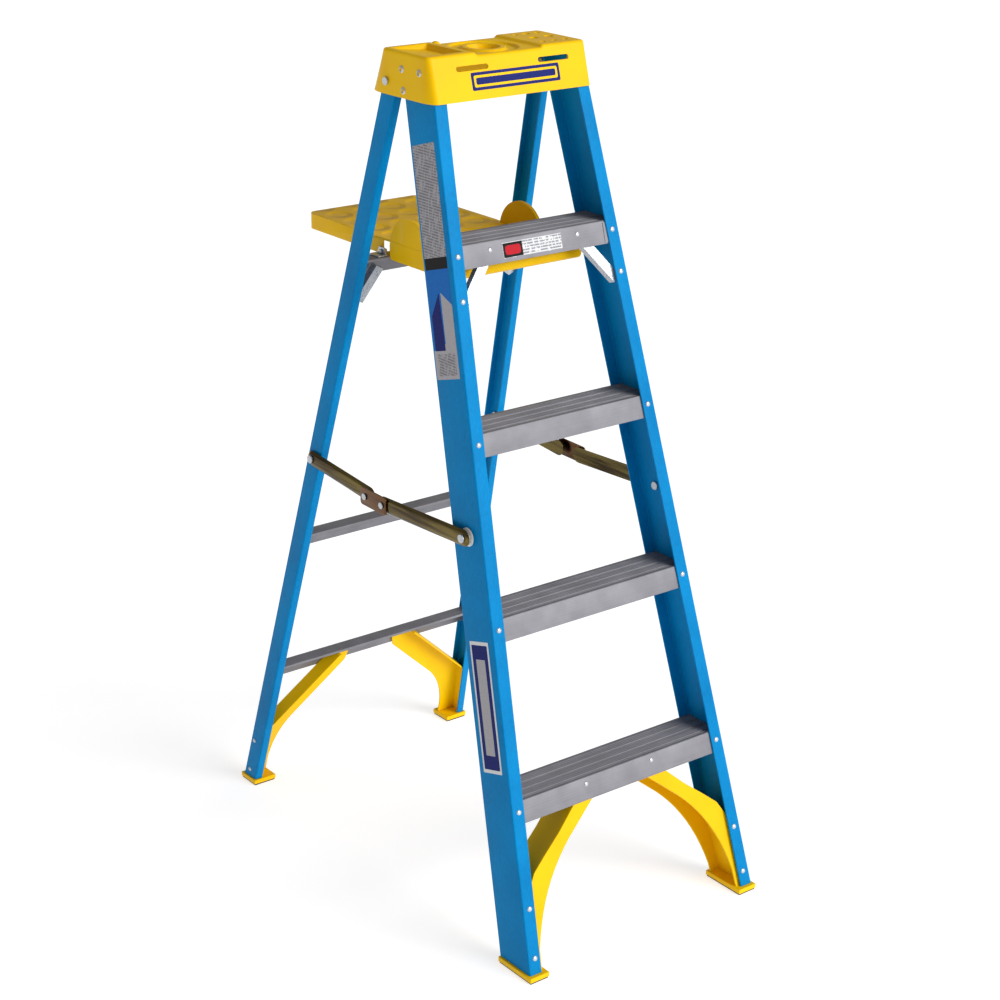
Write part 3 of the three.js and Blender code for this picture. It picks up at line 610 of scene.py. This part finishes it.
def cap_height(x, y):
    """The cap's deck: two raised ends, a lower middle with a ring for a can, and a sloping tray on the left."""
    height = np.full(np.shape(x), float(CAP_TOP))
    middle = ramp(x + 66, 3) * ramp(70 - x, 3)
    height -= 4.6 * middle
    radius = np.hypot(x - CAN_RING[0], y - CAN_RING[1])
    height -= 4.0 * ramp(57 - radius, 1.6) * middle
    height += 4.5 * ramp(38 - radius, 1.6) * ramp(radius - 26, 1.6)
    height -= 5.5 * ramp(26 - radius, 1.6)
    tray = ramp(x + 152, 2) * ramp(-82 - x, 2) * ramp(y - CAP_CENTRE + 47, 2) * ramp(CAP_CENTRE + 49 - y, 2)
    height -= tray * (3 + 7 * np.clip((x + 152) / 70, 0, 1))
    return height


def top_cap():
    """The cap's shell, with two slots through its front wall and tool holes through its right end, and a
    small round knob, a stack of shrinking rings, on its rear edge."""
    corner = 9.0
    tray = {
        "core": (163 - corner, CAP_NEAR + corner, CAP_FAR - corner), "corner": corner, "brim": 4.0,
        "top": CAP_TOP, "bottom": CAP_BOTTOM, "flare": (5.5 / 73, math.tan(FRONT_LEAN), 0.4), "height": cap_height,
    }
    (px, py), brim_end, wall_end = tray_grid(tray, 2.0, 26)
    holes = [(x, CAP_CENTRE + y, 0, radius) for x, y, radius in TOOL_HOLES]
    slot_y = tray["core"][1] - brim_end - 19
    holes += [(x, slot_y, 28.5, 4.2) for x in (-78.5, 89.5)]
    px, py, keep = cut_holes(px, py, holes, 2.6)
    moulding = shell(draped(px, py, tray, 0), draped(px, py, tray, 3.4), keep)
    make_piece("top_cap_moulding", moulding, "front_section", "yellow", ["top_cap"], 38)
    rings = [(8, -2), (7.6, 2), (6, 4.6), (3.2, 6.2), (0.4, 6.6)]
    knob = turned(rings, (-60, CAP_FAR - 8, CAP_TOP - 5), (0, 0, 1), 28)
    make_piece("cap_rear_knob", knob, "front_section", "yellow")


# ---- Everything else keeps its frame shape, with rounded edges ----------
def softened_pieces():
    """The shelf, braces, pads, struts, brackets, pins and spacers, with the roundness that suits each."""
    softened("pail_shelf", 0.8, "shelf_yellow")
    for side_name in SIDES:
        softened(f"front_foot_brace_{side_name}", 0.9, "yellow")
        softened(f"rear_foot_brace_{side_name}", 0.7, "yellow")
        for node in ("front_foot_pad", "rear_foot_pad"):
            softened(f"{node}_{side_name}", 0.4, "rubber")
        for node in ("top_step_strut", "shelf_strut", "shelf_bracket"):
            softened(f"{node}_{side_name}", 0.4, "zinc")
        for node in ("cap_pivot_pin", "shelf_pivot_bolt", "spreader_front_pin", "spreader_rear_pin",
                     "link_front_rivet", "link_rear_rivet"):
            softened(f"{node}_{side_name}", 0.5, "zinc")
        for node in ("spreader_front_spacer", "spreader_rear_spacer"):
            softened(f"{node}_{side_name}", 0.3, "nylon")


# ---- Spreaders: rolled arms with a crowned outer face -------------------
FRONT_PIN, REAR_PIN = (243.5 - 452.5, 709.5), (701 - 452.5, 713.5)
LINK_FRONT, LINK_REAR = (469.5 - 452.5, 698), (520 - 452.5, 699)


def bar_outline(start, end, radius, steps=10):
    """A bar with round ends, in y and z: half circles of this radius about its two end points."""
    start, end = np.asarray(start, float), np.asarray(end, float)
    heading = math.atan2(*(end - start)[::-1])
    turn = np.linspace(-math.pi / 2, math.pi / 2, steps + 1)
    far = end + radius * np.column_stack([np.cos(heading + turn), np.sin(heading + turn)])
    near = start - radius * np.column_stack([np.cos(heading + turn), np.sin(heading + turn)])
    return np.concatenate([far, near])


def crowned(start, end, radius, side, low, high):
    """A round-ended bar whose outer face bulges: at a share d of its half width it stands 1 - d**4 high."""
    shares = [1, 1, 0.97, 0.9, 0.78, 0.6, 0.4, 0.15]
    heights = [low, low + 0.8] + [low + 0.8 + (high - low - 0.8) * (1 - d ** 4) for d in shares[2:]]
    rows = []
    for share, x in zip(shares, heights):
        outline = bar_outline(start, end, radius * share)
        rows.append(np.column_stack([np.full(len(outline), side * x), outline]))
    return loft(rows)


def spreaders():
    """Each side's two arms and the link plate that carries their knuckle."""
    for side_name, side in SIDES.items():
        arms = (("spreader_front_arm", "front_arm", FRONT_PIN, LINK_FRONT, 214.75, 219.6, 14.5),
                ("spreader_rear_arm", "rear_arm", REAR_PIN, LINK_REAR, 209.4, 214.25, 14.5))
        for node, body, start, end, low, high, radius in arms:
            shape = crowned(start, end, radius, side, low, high)
            make_piece(f"{node}_{side_name}_rolled", shape, f"{body}_{side_name}", "chromate",
                       [f"{node}_{side_name}"], 40)
        (front, low), (rear, high) = LINK_FRONT, LINK_REAR
        corners = [(front - 13, low - 16.3), (rear + 13, high - 16.3), (rear + 13, high + 16.3),
                   (front - 13, low + 16.3)]
        plate = slab(rounded(corners, 7, 6), side * 220.1, side * 222.4, 0.5 * side)
        make_piece(f"spreader_link_{side_name}_plate", plate, f"link_{side_name}",
                   "chromate_link", [f"spreader_link_{side_name}"], 40)


# ---- Rivets and labels --------------------------------------------------
FRONT_OUT = (0, -math.cos(FRONT_LEAN), math.sin(FRONT_LEAN))


def rivet_groups():
    """The heads that fasten the treads, braces and cap, by the face they stand on."""
    flange, cap_sides, rear_web = [], [], []
    for side_name, side in SIDES.items():
        for z in [top - 15 for top in STEP_TOPS] + [1085.5, 118.6, 37.5]:
            x = side * (HALF_BASE - FRONT_TAPER * z - 13.8)
            flange.append(along_front(x, z / math.cos(FRONT_LEAN), 0))
        heads = [(y - 452.5, z) for y, z in ((484.5, 1434.4), (436.2, 1434.5), (476.6, 1401))]
        walls = [(side * (163 + 5.5 * (CAP_TOP - z) / 73 + 0.05), y, z) for y, z in heads]
        cap_sides.append(rivets(walls, (side, 0, 0), 6.2, 1.8, True))
        webs = [(side * (HALF_BASE - REAR_TAPER * z), y, z) for y, z in ((418, 91.6), (430.8, 26.1))]
        rear_web.append(rivets(webs, (side, 0, 0), 4.4, 2.0))
    make_piece("flange_rivets", rivets(flange, FRONT_OUT, 4.8, 2.2), "front_section", "rivet")
    make_piece("cap_side_rivets", joined(*cap_sides), "front_section", "rivet")
    make_piece("rear_foot_rivets", joined(*rear_web), "rear_section", "rivet")
    soles = [(side * (HALF_BASE - FRONT_TAPER * 40 - 3.4), FRONT_FOOT + y, z)
             for side in SIDES.values() for y, z in ((34, 62), (46, 30))]
    heads = [rivets([site], (-math.copysign(1, site[0]), 0, 0), 4.6, 2.4) for site in soles]
    make_piece("front_foot_rivets", joined(*heads), "front_section", "rivet")
    face = [along_front(x, 1156 / math.cos(FRONT_LEAN) + 1, 3.6) for x in (-95, 89)]
    face += [along_front(x, 279.5 / math.cos(FRONT_LEAN) + 1, 3.6) for x in (-73, 73)]
    washer = [(15, 0), (16, 0.4), (16, 1.2), (15, 1.6)]
    discs = [turned(washer, (side * 206.9, *FRONT_PIN), (side, 0, 0), 40) for side in SIDES.values()]
    make_piece("spreader_washers", joined(*discs), "front_section", "nylon")
    make_piece("tread_rivets", rivets(face, FRONT_OUT, 4.4, 1.8), "front_section", "rivet")


def web_label(name, corners, material, lift=0.25):
    """A film on the left front rail's web, outlined by distances along the rail and back from its front."""
    outline = rounded(corners, 1.2, 2)
    rows = []
    for out in (-0.1, lift):
        flat = along_front(0.0, outline[:, 0], outline[:, 1])
        flat[:, 0] = -(HALF_BASE - FRONT_TAPER * flat[:, 2] + out)
        rows.append(flat)
    make_piece(name, loft(rows), "front_section", material)


def face_label(name, corners, depth, material, lift=0.25, radius=1.2):
    """A film on a face that leans with the front rails, outlined by x and distance along the rails."""
    outline = rounded(corners, radius, 3)
    rows = [along_front(outline[:, 0], outline[:, 1], depth - out) for out in (-0.1, lift)]
    make_piece(name, loft(rows), "front_section", material)


def bounds_of(low_a, high_a, low_b, high_b):
    """The four corners of a rectangle."""
    return [(low_a, low_b), (high_a, low_b), (high_a, high_b), (low_a, high_b)]


def labels():
    """Plain stickers: fields of colour and rows of dashes, with no lettering."""
    web_label("label_small_print", bounds_of(1206, 1389, 13, 73), "printed_silver")
    web_label("label_black_band", bounds_of(1187, 1206, 13, 73), "black_vinyl")
    web_label("label_blue_field", bounds_of(1055, 1187, 12, 74), "blue_vinyl")
    web_label("label_silver_edge", [(1008, 12), (1008, 74), (1055, 74), (1066, 40), (1149, 40), (1128, 12)],
              "silver_vinyl", 0.35)
    web_label("label_navy_field", [(1055, 42), (1055, 70), (1112, 70), (1149, 45)], "navy_vinyl", 0.42)
    web_label("label_dashes", bounds_of(1014, 1050, 18, 66), "printed_silver", 0.45)
    web_label("rail_badge_border", bounds_of(352, 574, 16, 66), "white_vinyl")
    web_label("rail_badge_field", bounds_of(358, 568, 20, 62), "navy_vinyl", 0.35)
    web_label("rail_badge_panel", bounds_of(382, 544, 29, 53), "silver_vinyl", 0.45)
    scale = 1 / math.cos(FRONT_LEAN)
    step = bounds_of(-70, 54, 1138 * scale + 1, 1163 * scale + 1)
    face_label("tread_label", step, 3.55, "printed_white")
    dark = bounds_of(-69, -29, 1139 * scale + 1, 1162 * scale + 1)
    face_label("tread_label_dark", dark, 3.55, "black_vinyl", 0.35)
    red = bounds_of(-65, -33, 1143 * scale + 1, 1158 * scale + 1)
    face_label("tread_label_red", red, 3.55, "red_vinyl", 0.45, 5)
    cap_depth = -4.6 * math.cos(FRONT_LEAN)
    for name, inset, material, lift in (("field", 0, "navy_vinyl", 0.25), ("panel", 5, "yellow_print", 0.35),
                                        ("bar", 9, "navy_vinyl", 0.45)):
        badge = bounds_of(-84 + inset, 98 - inset, 1401 * scale + 1.3 + inset, 1429 * scale + 1.3 - inset)
        face_label(f"cap_badge_{name}", badge, cap_depth, material, lift, 3)


def tread_end_plates():
    """Thin folded plates that lap the top tread's front face at its ends."""
    scale = 1 / math.cos(FRONT_LEAN)
    for side_name, side in SIDES.items():
        plate = bounds_of(side * 146, side * 171, 1134.5 * scale + 1, 1167 * scale + 1)
        face_label(f"tread_end_plate_{side_name}", plate, 3.5, "aluminium", 0.9)


# ---- Floor, light and camera --------------------------------------------
def studio():
    """A wide pale floor, a soft sun from the front right, and an even pale sky."""
    mesh = bpy.data.meshes.new("studio_floor")
    reach = 60.0
    corners = [(-reach, -reach, 0), (reach, -reach, 0), (reach, reach, 0), (-reach, reach, 0)]
    mesh.from_pydata(corners, [], [(0, 1, 2, 3)])
    floor = bpy.data.objects.new("studio_floor", mesh)
    bpy.context.scene.collection.objects.link(floor)
    mesh.materials.append(painted_floor("painted_studio_floor", "#d6d6d7", "#dadada"))
    sun = bpy.data.lights.new("key", "SUN")
    sun.energy = 2.7
    sun.angle = math.radians(40)
    key = bpy.data.objects.new("key", sun)
    key.rotation_euler = Vector((-0.34, 0.84, -0.40)).to_track_quat("-Z", "Y").to_euler()
    bpy.context.scene.collection.objects.link(key)
    world = bpy.data.worlds.new("studio")
    world.use_nodes = True
    world.node_tree.nodes["Background"].inputs["Color"].default_value = (1, 1, 1, 1)
    world.node_tree.nodes["Background"].inputs["Strength"].default_value = 0.34
    bpy.context.scene.world = world


def camera():
    """The view from the front left, a little above the cap."""
    azimuth, elevation, roll = math.radians(-38.02), math.radians(20.83), 0.0120
    level = math.cos(elevation)
    back = Vector((math.sin(azimuth) * level, -math.cos(azimuth) * level, math.sin(elevation)))
    right = Vector((0, 0, 1)).cross(back).normalized()
    up = back.cross(right)
    data = bpy.data.cameras.new("camera")
    data.sensor_width = 36
    data.lens = 79.18
    data.clip_end = 200
    obj = bpy.data.objects.new("camera", data)
    columns = (right * math.cos(roll) + up * math.sin(roll), up * math.cos(roll) - right * math.sin(roll), back)
    obj.matrix_world = Matrix.Translation((-2.22805, -2.87821, 2.04852)) @ Matrix(columns).transposed().to_4x4()
    bpy.context.scene.collection.objects.link(obj)
    bpy.context.scene.camera = obj


rails()
treads()
horizontals()
top_cap()
softened_pieces()
spreaders()
rivet_groups()
labels()
tread_end_plates()
studio()
camera()
bpy.context.scene.view_settings.view_transform = "Standard"
